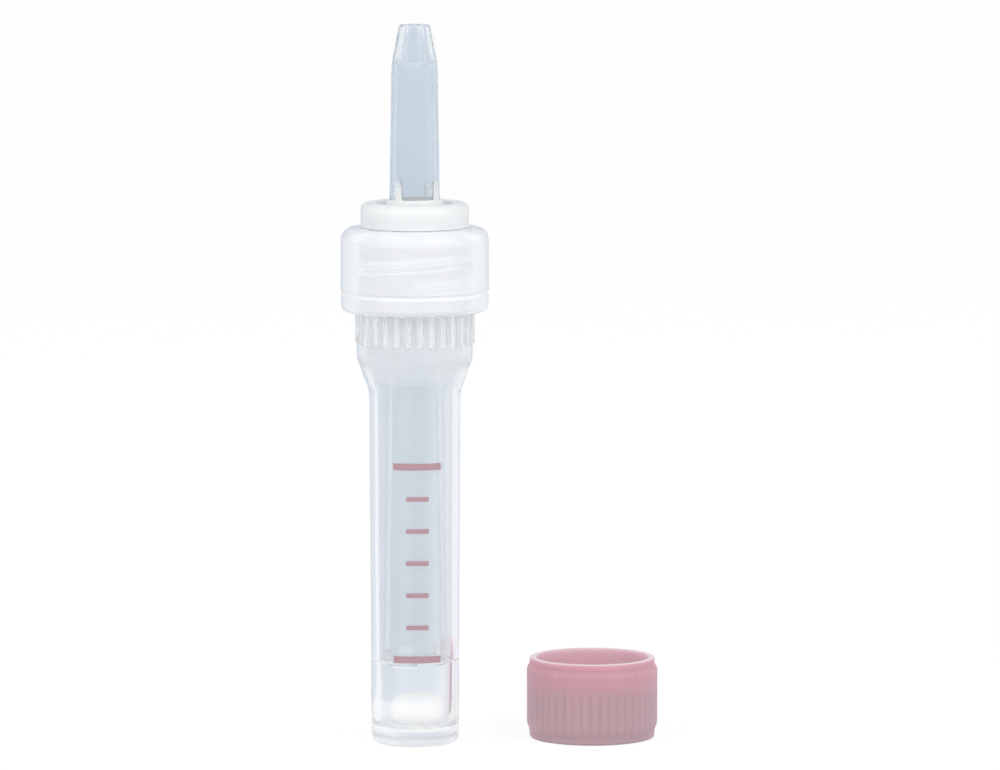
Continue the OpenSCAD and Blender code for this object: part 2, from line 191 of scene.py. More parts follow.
# %% [markdown]
# ## Turned shapes
# All the mouldings but the pellet are turned shapes: an outline swept round an axis. Each outline is
# a closed list of corners, given as radius, height and rounding in millimetres. A circle primitive
# with one point for each point of the outline is bent into it, and Spin sweeps it. Even small edges
# get a rounding, because it is the rounding that catches the light. A point counts as on a wall
# when it is within 0.01 mm of it.

# %% Outline and spin
CORNER_STEPS = 5
NEAR = 0.01


def rounded(corners):
    """Points of a closed outline of (radius, height, rounding) corners, in mm."""
    points = []
    for i, (x, z, rounding) in enumerate(corners):
        if not rounding:
            points.append((x, z))
            continue
        before, after = corners[i - 1], corners[(i + 1) % len(corners)]
        u = (before[0] - x, before[1] - z)
        v = (after[0] - x, after[1] - z)
        u = [c / math.hypot(*u) for c in u]
        v = [c / math.hypot(*v) for c in v]
        half = math.acos(max(-1, min(1, u[0] * v[0] + u[1] * v[1]))) / 2
        middle = (u[0] + v[0], u[1] + v[1])
        reach = rounding / math.sin(half) / math.hypot(*middle)
        centre = (x + middle[0] * reach, z + middle[1] * reach)
        back = rounding / math.tan(half)
        first = math.atan2(z + u[1] * back - centre[1], x + u[0] * back - centre[0])
        turn = math.pi - 2 * half
        if u[0] * v[1] - u[1] * v[0] > 0:
            turn = -turn
        for step in range(CORNER_STEPS + 1):
            angle = first + turn * step / CORNER_STEPS
            points.append((centre[0] + rounding * math.cos(angle),
                           centre[1] + rounding * math.sin(angle)))
    return points


def turned(name, corners, steps, rows=()):
    """Spin an outline. Each of rows is (radius, low, high, count), a wall cut into level rows."""
    points = rounded(corners)
    bpy.ops.object.select_all(action="DESELECT")
    bpy.ops.mesh.primitive_circle_add(vertices=len(points), radius=MM)
    piece = bpy.context.active_object
    piece.name = piece.data.name = name
    for vert, (x, z) in zip(piece.data.vertices, points):
        vert.co = (x * MM, 0, z * MM)
    bpy.ops.object.mode_set(mode="EDIT")
    bpy.ops.mesh.select_mode(type="EDGE")
    for radius, low, high, count in rows:
        bpy.ops.mesh.select_all(action="DESELECT")
        mesh = bmesh.from_edit_mesh(piece.data)
        for edge in mesh.edges:
            heights = [v.co.z / MM for v in edge.verts]
            on_wall = all(abs(v.co.x / MM - radius) < 2 * NEAR for v in edge.verts)
            edge.select_set(on_wall and min(heights) > low - NEAR and max(heights) < high + NEAR)
        bmesh.update_edit_mesh(piece.data)
        bpy.ops.mesh.subdivide(number_cuts=count - 1)
    bpy.ops.mesh.select_all(action="DESELECT")
    mesh = bmesh.from_edit_mesh(piece.data)
    for edge in mesh.edges:
        edge.select_set(all(abs(v.co.x) < MM / 10000 for v in edge.verts))
    bmesh.update_edit_mesh(piece.data)
    bpy.ops.mesh.delete(type="EDGE_FACE")
    bpy.ops.mesh.select_all(action="SELECT")
    bpy.ops.mesh.spin(steps=steps, angle=TURN, center=(0, 0, 0), axis=(0, 0, 1))
    bpy.ops.mesh.select_all(action="SELECT")
    bpy.ops.mesh.remove_doubles(threshold=MM / 1000)
    bpy.ops.mesh.normals_make_consistent(inside=False)
    bpy.ops.object.mode_set(mode="OBJECT")
    return piece


print("an outline's rounded corner has", CORNER_STEPS + 1, "points")


# %% [markdown]
# ## Threads, ribs, haze and painted highlights
# A thread ridge and a ring of ribs are small moves of points on a turned wall, so they are made that
# way: the wall is cut into fine rows and columns, and a rule says for each point how far out it
# goes. That gives soft flanks that run out smoothly, without any seam. A second rule of the same
# kind writes how much haze and painted highlight each point gets.


# %% Rules for points
def polar(vert, axis=(0, 0)):
    """Radius, angle and height of a point about an upright axis, in mm."""
    x, y, z = vert.co.x / MM - axis[0], vert.co.y / MM - axis[1], vert.co.z / MM
    return math.hypot(x, y), math.atan2(y, x), z


def spot(radius, angle, z):
    """Where a radius, an angle and a height in mm are, in the metres of the scene."""
    return radius * math.cos(angle) * MM, radius * math.sin(angle) * MM, z * MM


def reshape(piece, rule):
    """Move each point to the radius and height that rule(radius, angle, height) gives."""
    for vert in piece.data.vertices:
        radius, angle, z = polar(vert)
        if radius > NEAR:
            new_radius, new_z = rule(radius, angle, z)
            vert.co = spot(new_radius, angle, new_z)


def haze_and_painted_light(piece, rule, axis=(0, 0)):
    """Write how much haze and painted highlight each point gets, from 0 to 1, as rule(radius, angle,
    height) gives it.
    """
    layer = piece.data.attributes.new("haze_and_painted_light", "FLOAT", "POINT")
    layer.data.foreach_set("value", [max(0, min(1, rule(*polar(v, axis)))) for v in piece.data.vertices])


def ease(share):
    """Smooth step from 0 to 1."""
    share = max(0, min(1, share))
    return share * share * (3 - 2 * share)


PITCH = 2.17
THREAD_TURNS = 1.25
THREAD_START = math.radians(-112)
RIDGE_FOOT, RIDGE_CREST = 0.8, 0.36
RUN_OUT = 0.1
THREAD_ROWS = 50


def ridge(angle, z, low):
    """Share of its full height that the thread ridge has at an angle and a height."""
    best = 0
    turn = ((angle - THREAD_START) % TURN) / TURN
    while turn <= THREAD_TURNS:
        off = abs(z - low - PITCH * turn)
        flank = ease((RIDGE_FOOT / 2 - off) / ((RIDGE_FOOT - RIDGE_CREST) / 2))
        best = max(best, flank * ease(min(turn, THREAD_TURNS - turn) / RUN_OUT))
        turn += 1
    return best


def ribbed(angle, count, crest, back, wall):
    """Radius at an angle of a wall that carries ribs with round backs."""
    pitch = TURN / count
    off = (angle + pitch / 2) % pitch - pitch / 2
    centre = crest - back
    inside = back ** 2 - (centre * math.sin(off)) ** 2
    return max(wall, centre * math.cos(off) + math.sqrt(inside)) if inside > 0 else wall


def finish_piece(piece, body, node, surface, angle=35):
    """Smooth a piece, dress it and let it stand for its CAD node."""
    bpy.ops.object.select_all(action="DESELECT")
    piece.select_set(True)
    bpy.context.view_layer.objects.active = piece
    bpy.ops.object.shade_smooth_by_angle(angle=math.radians(angle))
    modifier = piece.modifiers.new("even_normals", "WEIGHTED_NORMAL")
    modifier.keep_sharp = True
    bpy.ops.object.modifier_apply(modifier=modifier.name)
    piece.data.materials.clear()
    piece.data.materials.append(surface)
    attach(piece, body)
    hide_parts(node)
    print(f"{piece.name}: {len(piece.data.polygons)} faces")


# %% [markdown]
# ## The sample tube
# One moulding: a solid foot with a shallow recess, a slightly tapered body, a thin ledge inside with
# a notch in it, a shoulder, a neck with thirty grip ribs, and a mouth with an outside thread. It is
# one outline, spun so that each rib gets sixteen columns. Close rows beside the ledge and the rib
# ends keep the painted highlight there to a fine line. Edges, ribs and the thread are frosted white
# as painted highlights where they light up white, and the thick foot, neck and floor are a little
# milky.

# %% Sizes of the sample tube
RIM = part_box("sample_tube")[1].z / MM
STOP = RIM - 6.2
SHOULDER_HIGH = STOP - 4.05
SHOULDER_LOW = SHOULDER_HIGH - 3.2
FOOT_ROUND = 0.8
RECESS_R, RECESS_EDGE, RECESS_DEEP = 2.1, 0.21, 0.35
BODY_LOW_R, BODY_HIGH_R, BODY_WALL = 3.97, 4.12, 0.72
NECK_R, NECK_INNER_R, MOUTH_R = 5.27, 4.32, 3.9
RIB_COUNT, RIB_BACK, RIB_CREST = 30, 0.36, 5.4
RIB_LOW = STOP - 2.85
ROOT_R, CREST_R = 4.55, 4.95
THREAD_LOW = RIM - 3.5
LEDGE, LEDGE_DEPTH = 7.7, 0.12
NOTCH_DROP, NOTCH_MIDDLE = 0.36, math.radians(-105)
NOTCH_HALF, NOTCH_SIDE = math.radians(20.5), math.radians(2.5)
FLOOR, FLOOR_RISE = 1.5, 0.15
CLOSE = 0.1


def body_r(z):
    """Outer radius of the drafted body at a height."""
    return BODY_LOW_R + (BODY_HIGH_R - BODY_LOW_R) * (z - FOOT_ROUND) / (SHOULDER_LOW - FOOT_ROUND)


def body_inner_r(z):
    """Inner radius of the body above the ledge."""
    return body_r(z) - BODY_WALL


ledge_r = body_inner_r(LEDGE)
chamber_r = ledge_r - LEDGE_DEPTH
slant = (NECK_R - BODY_HIGH_R) / (SHOULDER_HIGH - SHOULDER_LOW)
funnel_high = SHOULDER_LOW + (NECK_INNER_R - body_inner_r(SHOULDER_LOW)) / slant
thread_rows = (ROOT_R, THREAD_LOW - 0.6, THREAD_LOW + PITCH * THREAD_TURNS + 0.5, THREAD_ROWS)
print(f"ledge radius {ledge_r:.2f} mm, chamber radius {chamber_r:.2f} mm, rim at {RIM:.1f} mm")

# %% Sample tube
tube = turned("sample_tube_clear", [
    (0, RECESS_DEEP, 0), (RECESS_R, RECESS_EDGE, 0.15), (RECESS_R, 0, 0.08),
    (body_r(0), 0, FOOT_ROUND), (body_r(FOOT_ROUND + 0.3), FOOT_ROUND + 0.3, 0),
    (BODY_HIGH_R, SHOULDER_LOW, 2.4), (NECK_R, SHOULDER_HIGH, 2.4),
    (NECK_R, RIB_LOW, 0), (NECK_R, RIB_LOW + CLOSE, 0), (NECK_R, RIB_LOW + 2 * CLOSE, 0),
    (NECK_R, STOP, 0.06), (ROOT_R, STOP, 0.15),
    (ROOT_R, thread_rows[1], 0), (ROOT_R, thread_rows[2], 0), (ROOT_R, RIM, 0.2),
    (MOUTH_R, RIM, 0.12), (MOUTH_R, STOP - 0.95, 1.2), (NECK_INNER_R, funnel_high, 1.2),
    (body_inner_r(SHOULDER_LOW), SHOULDER_LOW, 2),
    (body_inner_r(LEDGE + CLOSE), LEDGE + CLOSE, 0), (ledge_r, LEDGE, 0.04), (chamber_r, LEDGE, 0.04),
    (chamber_r, LEDGE - CLOSE, 0), (chamber_r, LEDGE - 1.6 * CLOSE, 0),
    (chamber_r, FLOOR + FLOOR_RISE, 0.6), (chamber_r * 0.45, FLOOR, 1.2), (0, FLOOR, 0),
], 16 * RIB_COUNT, [thread_rows])


def notch(angle):
    """Share of its full depth that the ledge's notch has at an angle."""
    off = abs((angle - NOTCH_MIDDLE + math.pi) % TURN - math.pi)
    return ease((NOTCH_HALF - off) / NOTCH_SIDE + 0.5)


def tube_shape(radius, angle, z):
    """Radius and height that a point of the plain tube moves to."""
    if abs(radius - ROOT_R) < NEAR and z > STOP + 0.3:
        return ROOT_R + (CREST_R - ROOT_R) * ridge(angle, z, THREAD_LOW), z
    if NECK_R - 0.08 < radius < NECK_R + NEAR and z > RIB_LOW + CLOSE / 2:
        return ribbed(angle, RIB_COUNT, RIB_CREST, RIB_BACK, NECK_R) - (NECK_R - radius), z
    if abs(z - LEDGE) < CLOSE * 1.7 and chamber_r - NEAR < radius < ledge_r + NEAR:
        return radius, z - NOTCH_DROP * notch(angle)
    return radius, z


# The ledge, the thread crest, the rib ends and the rib flanks are frosted white as painted highlights,
# for the bright lines that light draws along them.
LEDGE_HIGHLIGHT, THREAD_HIGHLIGHT, RIM_FROST = 0.9, 0.9, 0.4
RIB_END_HIGHLIGHT, RIB_FROST, RIB_FLANK_HIGHLIGHT = 0.7, 0.38, 0.9
FOOT_EDGE_FROST, FOOT_FROST, FLOOR_FROST = 0.6, 0.3, 0.3
NECK_FROST, FUNNEL_FROST = 0.23, 0.25


def tube_haze_and_highlight(radius, angle, z):
    """How much haze and painted highlight a point of the tube gets."""
    inside = radius < body_inner_r(z) + 0.05
    above_ledge = z - LEDGE + NOTCH_DROP * notch(angle)
    if inside and -1.3 * CLOSE < above_ledge < CLOSE / 2:
        return LEDGE_HIGHLIGHT
    if radius > NECK_R + NEAR and RIB_LOW + CLOSE / 2 < z < STOP:
        if z < RIB_LOW + 1.5 * CLOSE:
            return RIB_END_HIGHLIGHT
        share = (radius - NECK_R) / (RIB_CREST - NECK_R)
        return RIB_FROST + RIB_FLANK_HIGHLIGHT * share * (1 - share)
    if z > STOP + 0.3 and radius > ROOT_R + NEAR:
        return THREAD_HIGHLIGHT * ease(ridge(angle, z, THREAD_LOW) * 2 - 1)
    if z > RIM - 0.15:
        return RIM_FROST
    if z < FOOT_ROUND + NEAR:
        return FOOT_EDGE_FROST if z < 0.12 else FOOT_FROST
    if not inside and SHOULDER_HIGH - 1 < z < STOP:
        return NECK_FROST
    if inside and abs(z - funnel_high) < 0.3:
        return FUNNEL_FROST
    return FLOOR_FROST if z < FLOOR + 0.6 and inside else 0


reshape(tube, tube_shape)
haze_and_painted_light(tube, tube_haze_and_highlight)
finish_piece(tube, "tube", "sample_tube", tube_plastic)

# %% [markdown]
# ## The filling tube
# A second clear moulding: a slender nozzle with a steep tip, a hub with a ring-shaped vent well and
# a flange that rests on the rim, a plug, and a long stem down to the chamber. The bore runs through
# all of it. Four small fins stand at the nozzle's foot, four holes vent the well, and four notches
# cut the stem's lower end. Fins are added and holes and notches are cut with Boolean, as a
# machinist would add bosses and drill holes. The thick hub is milky and the thin nozzle nearly
# clear.

# %% Filling tube outline
fill_low, fill_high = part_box("filling_tube")
TIP_TOP, STEM_LOW = fill_high.z / MM, fill_low.z / MM
HUB_R = fill_high.x / MM
HUB_TOP = TIP_TOP - 16.05
TIP_FOOT = TIP_TOP - 3.5
FLANGE_TOP = RIM + 0.85
GROOVE_R, GROOVE_TOP = 4.5, FLANGE_TOP + 0.7
WEB_TOP = HUB_TOP - 1.05
WEB_LOW = WEB_TOP - 1
WELL_R, RING_R, RING_TOP = 3.55, 2.55, HUB_TOP + 0.3
PLUG_R, PLUG_LOW = MOUTH_R - 0.05, RIM - 1.6
STEM_WALL, BORE_FOOT_R, BORE_DRAFT = 0.52, 1.56, 0.0309
NOTCH_WIDE, NOTCH_HIGH, NOTCH_ANGLE = 1.7, 1.3, -68.5
NOTCH_TOP = STEM_LOW + NOTCH_HIGH
CUT_TOP = NOTCH_TOP + 0.15
TIP_BORE_LOW_R, TIP_BORE_HIGH_R, TIP_HIGH_R, TIP_LOW_R = 0.75, 0.55, 1.4, 2.05


def bore_r(z):
    """Radius of the long bore, which widens downwards."""
    return BORE_FOOT_R + (TIP_FOOT - z) * BORE_DRAFT / 2


def stem_r(z):
    """Outer radius of the nozzle and the stem."""
    return bore_r(z) + STEM_WALL


filling = turned("filling_tube_clear", [
    (bore_r(STEM_LOW), STEM_LOW, 0.1), (bore_r(CUT_TOP), CUT_TOP, 0),
    (bore_r(TIP_FOOT), TIP_FOOT - CLOSE * 2, 0), (bore_r(TIP_FOOT), TIP_FOOT, 0.06),
    (TIP_BORE_LOW_R, TIP_FOOT, 0.06), (TIP_BORE_HIGH_R, TIP_TOP, 0.15),
    (TIP_HIGH_R, TIP_TOP, 0.25), (TIP_LOW_R, TIP_FOOT, 1),
    (stem_r(TIP_FOOT - 1), TIP_FOOT - 1, 1), (stem_r(RING_TOP), RING_TOP + CLOSE, 0),
    (stem_r(RING_TOP), RING_TOP, 0.08), (RING_R, RING_TOP, 0.15), (RING_R, WEB_TOP, 0.15),
    (WELL_R, WEB_TOP, 0.15), (WELL_R, HUB_TOP, 0.15), (HUB_R, HUB_TOP, 0.6),
    (HUB_R, GROOVE_TOP, 0.08), (GROOVE_R, GROOVE_TOP, 0.08), (GROOVE_R, FLANGE_TOP, 0.08),
    (HUB_R, FLANGE_TOP, 0.08), (HUB_R, RIM, 0.08), (PLUG_R, RIM, 0.05), (PLUG_R, PLUG_LOW, 0.3),
    (PLUG_R - 0.5, PLUG_LOW, 0.1), (WELL_R, WEB_LOW, 0.15), (stem_r(WEB_LOW), WEB_LOW, 0.15),
    (stem_r(WEB_LOW - 0.4), WEB_LOW - 0.4, 0), (stem_r(CUT_TOP), CUT_TOP, 0),
    (stem_r(STEM_LOW + 0.3), STEM_LOW + 0.3, 0), (stem_r(STEM_LOW), STEM_LOW, 0.15),
], 192)


# %% Fins, vents and notches
def boolean(piece, tool, operation):
    """Join a tool to a piece, or cut it away, and remove the tool."""
    bpy.ops.object.select_all(action="DESELECT")
    bpy.context.view_layer.objects.active = piece
    modifier = piece.modifiers.new("boolean", "BOOLEAN")
    modifier.operation, modifier.solver, modifier.object = operation, "EXACT", tool
    bpy.ops.object.modifier_apply(modifier=modifier.name)
    bpy.data.objects.remove(tool)


def slab(low, high, thickness, angle, from_r, to_r):
    """An upright slab that points away from the axis, with its outer edges bevelled."""
    bpy.ops.object.select_all(action="DESELECT")
    bpy.ops.mesh.primitive_cube_add(size=1)
    made = bpy.context.active_object
    for vert in made.data.vertices:
        out, aside = from_r + (vert.co.x + 0.5) * (to_r - from_r), vert.co.y * thickness
        vert.co = ((out * math.cos(angle) - aside * math.sin(angle)) * MM,
                   (out * math.sin(angle) + aside * math.cos(angle)) * MM,
                   (low + (vert.co.z + 0.5) * (high - low)) * MM)
    bpy.ops.object.mode_set(mode="EDIT")
    bpy.ops.mesh.select_all(action="SELECT")
    bpy.ops.mesh.bevel(offset=SLAB_BEVEL * MM, segments=2)
    bpy.ops.object.mode_set(mode="OBJECT")
    return made


SLAB_BEVEL = 0.09
FIN_THICK, FIN_HIGH, FIN_ANGLE = 0.65, 2.15, -37
VENT_R, VENT_RING, VENT_ANGLE = 0.375, (RING_R + WELL_R) / 2, -44
for quarter in range(4):
    angle = math.radians(FIN_ANGLE + 90 * quarter)
    fin = slab(HUB_TOP, HUB_TOP + FIN_HIGH, FIN_THICK, angle, bore_r(HUB_TOP) + 0.2, RING_R - NEAR)
    boolean(filling, fin, "UNION")
for quarter in range(4):
    angle = math.radians(VENT_ANGLE + 90 * quarter)
    bpy.ops.mesh.primitive_cylinder_add(
        vertices=32, radius=VENT_R * MM, depth=2 * MM,
        location=spot(VENT_RING, angle, (WEB_TOP + WEB_LOW) / 2))
    boolean(filling, bpy.context.active_object, "DIFFERENCE")
for quarter in range(4):
    angle = math.radians(NOTCH_ANGLE + 90 * quarter)
    boolean(filling, slab(STEM_LOW - 1, NOTCH_TOP, NOTCH_WIDE, angle, 0.5, 4), "DIFFERENCE")
print("the filling tube has", len(filling.data.vertices), "points after its cuts")


# The fin tops are frosted white as a painted highlight.
FIN_TOP_HIGHLIGHT, FIN_FROST, TIP_FROST, NOZZLE_FROST = 0.3, 0.15, 0.07, 0.012
WELL_FROST, HUB_FROST, STEM_END_FROST, STEM_FROST = 1, 0.85, 0.3, 0.06


def filling_haze_and_highlight(radius, angle, z):
    """How much haze and painted highlight a point of the filling tube gets."""
    if z > RING_TOP + 0.05:
        if radius > stem_r(z) + 0.08 and z < HUB_TOP + FIN_HIGH + 0.1:
            return FIN_TOP_HIGHLIGHT if z > HUB_TOP + FIN_HIGH - 0.15 else FIN_FROST
        return TIP_FROST if z > TIP_FOOT - 0.2 and radius > 1 else NOZZLE_FROST
    if z > PLUG_LOW - 0.1:
        if radius < stem_r(z) + 0.02:
            return 0
        if RING_R - 0.1 < radius < WELL_R + 0.2:
            in_vent = abs(radius - VENT_RING) < VENT_R + 0.02 and WEB_LOW - 0.02 < z < WEB_TOP + 0.02
            return 0 if in_vent else WELL_FROST
        return HUB_FROST
    return STEM_END_FROST if z < NOTCH_TOP + 0.05 else STEM_FROST


haze_and_painted_light(filling, filling_haze_and_highlight)
finish_piece(filling, "nozzle", "filling_tube", nozzle_plastic)

# %% [markdown]
# ## The screw collar
# A ring of milkier polypropylene that screws on the tube's thread and pulls the hub's flange down on
# the rim. It has a round shoulder, a fine groove above a lower band, and a thread ridge inside,
# which shows through the wall as thin bright lines. It is a turned shape too, with its ridge moved
# inwards.

# %% Screw collar
collar_low, collar_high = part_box("screw_collar")
COLLAR_R = collar_high.x / MM
COLLAR_LOW, COLLAR_TOP = collar_low.z / MM, collar_high.z / MM
LIP_LOW, LIP_R = COLLAR_TOP - 0.6, GROOVE_R + 0.05
BAND_TOP = COLLAR_LOW + 1.6
BAND_R, BAND_GROOVE_R, BAND_GROOVE_TOP = COLLAR_R - 0.05, COLLAR_R - 0.12, BAND_TOP + 0.34
THREAD_GAP = 0.12
NUT_ROOT_R, NUT_CREST_R = CREST_R + THREAD_GAP, ROOT_R + THREAD_GAP
nut_low = THREAD_LOW - (RIDGE_FOOT + RIDGE_CREST) / 2 - 0.1
nut_rows = (NUT_ROOT_R, nut_low - 0.6, nut_low + PITCH * THREAD_TURNS + 0.6, THREAD_ROWS)
collar = turned("screw_collar_milky", [
    (LIP_R, LIP_LOW, 0.08), (LIP_R, COLLAR_TOP, 0.15), (BAND_R, COLLAR_TOP, 1.1),
    (COLLAR_R, BAND_GROOVE_TOP, 0.05), (BAND_GROOVE_R, BAND_GROOVE_TOP, 0.05),
    (BAND_GROOVE_R, BAND_TOP, 0.05), (BAND_R, BAND_TOP, 0.08), (BAND_R, BAND_TOP - 2 * CLOSE, 0),
    (BAND_R, COLLAR_LOW, 0.6), (NUT_ROOT_R + 0.2, COLLAR_LOW, 0.08),
    (NUT_ROOT_R, COLLAR_LOW + 0.2, 0.08), (NUT_ROOT_R, nut_rows[1], 0), (NUT_ROOT_R, nut_rows[2], 0),
    (NUT_ROOT_R, LIP_LOW, 0.15),
], 240, [nut_rows])


def collar_shape(radius, angle, z):
    """Radius and height that a point of the plain collar moves to."""
    if abs(radius - NUT_ROOT_R) < NEAR:
        return NUT_ROOT_R - (NUT_ROOT_R - NUT_CREST_R) * ridge(angle, z, nut_low), z
    return radius, z


# The band's top edge is frosted white as a painted highlight.
BAND_EDGE_HIGHLIGHT, LIP_FROST = 0.6, 0.3


def collar_haze_and_highlight(radius, angle, z):
    """How much haze and painted highlight a point of the collar gets."""
    if radius > COLLAR_R - 0.2 and abs(z - BAND_TOP) < 0.09:
        return BAND_EDGE_HIGHLIGHT
    return LIP_FROST if radius < LIP_R + 0.1 else 0


reshape(collar, collar_shape)
haze_and_painted_light(collar, collar_haze_and_highlight)
finish_piece(collar, "collar", "screw_collar", collar_plastic)

# %% [markdown]
# ## The additive pellet
# A pressed white tablet of dried additive, which lies loose on the floor of the tube. It is a sphere
# flattened to the tablet's width and thickness and made fuller at its shoulders: with a power of 2
# it would be an ellipse, and a higher power makes it squarer. Pressed powder has no gloss, and a
# fine grain of about 0.1 mm breaks up its surface.

# %% Pellet
GRAIN, GRAIN_DEPTH = 0.12, 0.02
pellet_powder, tree, output = new_material("pressed_powder")
place = add(tree, "ShaderNodeTexCoord").outputs["Object"]
grain = add(tree, "ShaderNodeTexNoise", Vector=place, Scale=1 / (GRAIN * MM), Detail=3).outputs["Fac"]
tone = mixed(tree, grain, linear("f9f6f3"), linear("fffcfa"))
bump = add(tree, "ShaderNodeBump", Height=grain, Strength=0.6, Distance=GRAIN_DEPTH * MM)
shader = add(tree, "ShaderNodeBsdfPrincipled", Base_Color=tone, Roughness=0.85,
             Specular_IOR_Level=0.2, Normal=bump.outputs[0])
tree.links.new(shader.outputs[0], output.inputs["Surface"])

PELLET_POWER = 2.4
pellet_low, pellet_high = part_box("additive_pellet")
centre, half = (pellet_low + pellet_high) / 2, (pellet_high - pellet_low) / 2
bpy.ops.object.select_all(action="DESELECT")
bpy.ops.mesh.primitive_uv_sphere_add(segments=64, ring_count=32, radius=1)
pellet = bpy.context.active_object
pellet.name = pellet.data.name = "additive_pellet_white"
for vert in pellet.data.vertices:
    x, y, z = vert.co
    fuller = (math.hypot(x, y) ** PELLET_POWER + abs(z) ** PELLET_POWER) ** (-1 / PELLET_POWER)
    vert.co = (centre.x + x * fuller * half.x, centre.y + y * fuller * half.y,
               centre.z + z * fuller * half.z)
finish_piece(pellet, "tube", "additive_pellet", pellet_powder, angle=60)

# %% [markdown]
# ## Printed fill marks
# Two long bars and five short ticks are pad printed on the front of the tube in a dull red ink. Each
# is a thin strip that follows the wall just clear of it: a grid bent round the body, with its
# corners drawn in a little, as ink runs, and then given the thickness of a film.

# %% Fill marks
INK_CLOUD = 0.4
print_ink, tree, output = new_material("pad_print_ink")
place = add(tree, "ShaderNodeTexCoord").outputs["Object"]
spread = add(tree, "ShaderNodeTexNoise", Vector=place, Scale=1 / (INK_CLOUD * MM), Detail=3)
tone = mixed(tree, spread.outputs["Fac"], linear("a9858d"), linear("b7959c"))
shader = add(tree, "ShaderNodeBsdfPrincipled", Base_Color=tone, Roughness=0.45)
tree.links.new(shader.outputs[0], output.inputs["Surface"])

LOW_BAR, HIGH_BAR, BAR_PRINT, BAR_HALF = 8.1, 25.65, 0.62, math.radians(31.7)
TICKS, TICK_PRINT, TICK_HALF = 5, 0.42, math.radians(14.5)
MARK_ANGLE = math.radians(-86.5)
INK_GAP, INK_FILM = 0.006, 0.02
END_SHRINK, END_LONG = 0.07, 0.06


def ink_strip(middle, print_height, half_angle):
    """A strip of ink round the front of the body at a height."""
    bpy.ops.object.select_all(action="DESELECT")
    bpy.ops.mesh.primitive_grid_add(x_subdivisions=48, y_subdivisions=4, size=2)
    strip = bpy.context.active_object
    half_length = half_angle * body_r(middle)
    for vert in strip.data.vertices:
        along, up = vert.co.x, vert.co.y
        from_end = (1 - abs(along)) * half_length
        ink_run = min(1, 1 - END_SHRINK + from_end / END_LONG * END_SHRINK)
        z = middle + up * print_height / 2 * ink_run
        vert.co = spot(body_r(z) + INK_GAP, MARK_ANGLE + along * half_angle, z)
    modifier = strip.modifiers.new("film", "SOLIDIFY")
    modifier.thickness, modifier.offset = INK_FILM * MM, 1
    bpy.ops.object.modifier_apply(modifier=modifier.name)
    return strip


strips = [ink_strip(z, BAR_PRINT, BAR_HALF) for z in (LOW_BAR, HIGH_BAR)]
tick_step = (HIGH_BAR - LOW_BAR) / (TICKS + 1)
strips += [ink_strip(LOW_BAR + tick_step * (i + 1), TICK_PRINT, TICK_HALF) for i in range(TICKS)]
for strip in strips:
    strip.select_set(True)
bpy.context.view_layer.objects.active = strips[0]
bpy.ops.object.join()
marks = bpy.context.active_object
marks.name = marks.data.name = "fill_marks_ink"
finish_piece(marks, "tube", "fill_marks", print_ink)

# %% [markdown]
# ## The screw cap
# The cap that closes the tube afterwards stands on its closed end. It is moulded in pink
# polypropylene with forty-five grip ribs, a thread ridge and a sealing ring inside. The thin wall
# near the open end lets light through, so its colour is painted brighter there, and its grooves
# run out towards that end. Near the closed end, where the seal and the plate stand behind the
# wall, its colour is painted greyer and painted shade darkens the grooves to fine dull lines. So
# they are kept very shallow here: a depth of 1 would be the full height of the ribs. The thin rim
# gets a painted highlight and the inside is painted lighter.

# %% Cap plastic
cap_low, cap_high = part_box("screw_cap")
CAP_HIGH = cap_high.z / MM
CAP_CREST = (cap_high.x - cap_low.x) / 2 / MM
cap_axis = ((cap_low.x + cap_high.x) / 2 / MM, (cap_low.y + cap_high.y) / 2 / MM)

LIT_FROM, LIT_TO = 4.5, 6.1
CLOUD_WIDE, CLOUD_HIGH = 2.5, 0.9
cap_plastic, tree, output = new_material("pink_polypropylene")
place = add(tree, "ShaderNodeTexCoord").outputs["Object"]
cloud = add(tree, "ShaderNodeTexNoise", Vector=place, Scale=1 / (CLOUD_WIDE * MM), Detail=2)
height = add(tree, "ShaderNodeSeparateXYZ", Vector=place).outputs["Z"]
waver = add(tree, "ShaderNodeMath", {"operation": "MULTIPLY_ADD"},
            in0=cloud.outputs["Fac"], in1=CLOUD_HIGH * MM, in2=height)
lit = add(tree, "ShaderNodeMapRange", {"interpolation_type": "SMOOTHSTEP"}, Value=waver.outputs[0],
          From_Min=LIT_FROM * MM, From_Max=LIT_TO * MM, To_Min=0, To_Max=1).outputs[0]
groove = add(tree, "ShaderNodeAttribute", {"attribute_name": "groove"}).outputs["Fac"]
edge = add(tree, "ShaderNodeAttribute", {"attribute_name": "haze_and_painted_light"}).outputs["Fac"]
# Painted light and shade: the wall colour is painted brighter towards the open end and greyer near the
# closed end, the grooves are painted darker near the closed end, and the value read by edge paints a
# highlight on the rim and a lighter inside.
painted_lit_wall_tone = mixed(tree, lit, linear("b99da4"), linear("c29aa5"))
groove_tone = mixed(tree, lit, linear("b5989f"), linear("c39ca7"))
tone = mixed(tree, edge, mixed(tree, groove, painted_lit_wall_tone, groove_tone), linear("e4d3d8"))
shader = add(tree, "ShaderNodeBsdfPrincipled", Base_Color=tone, Roughness=0.55, Specular_IOR_Level=0.35,
             Subsurface_Weight=0.9, Subsurface_Radius=(2.2, 1.3, 1.4), Subsurface_Scale=MM)
tree.links.new(shader.outputs[0], output.inputs["Surface"])
print(f"the cap stands {cap_axis[0]:.1f} mm to the right of the tube's axis")

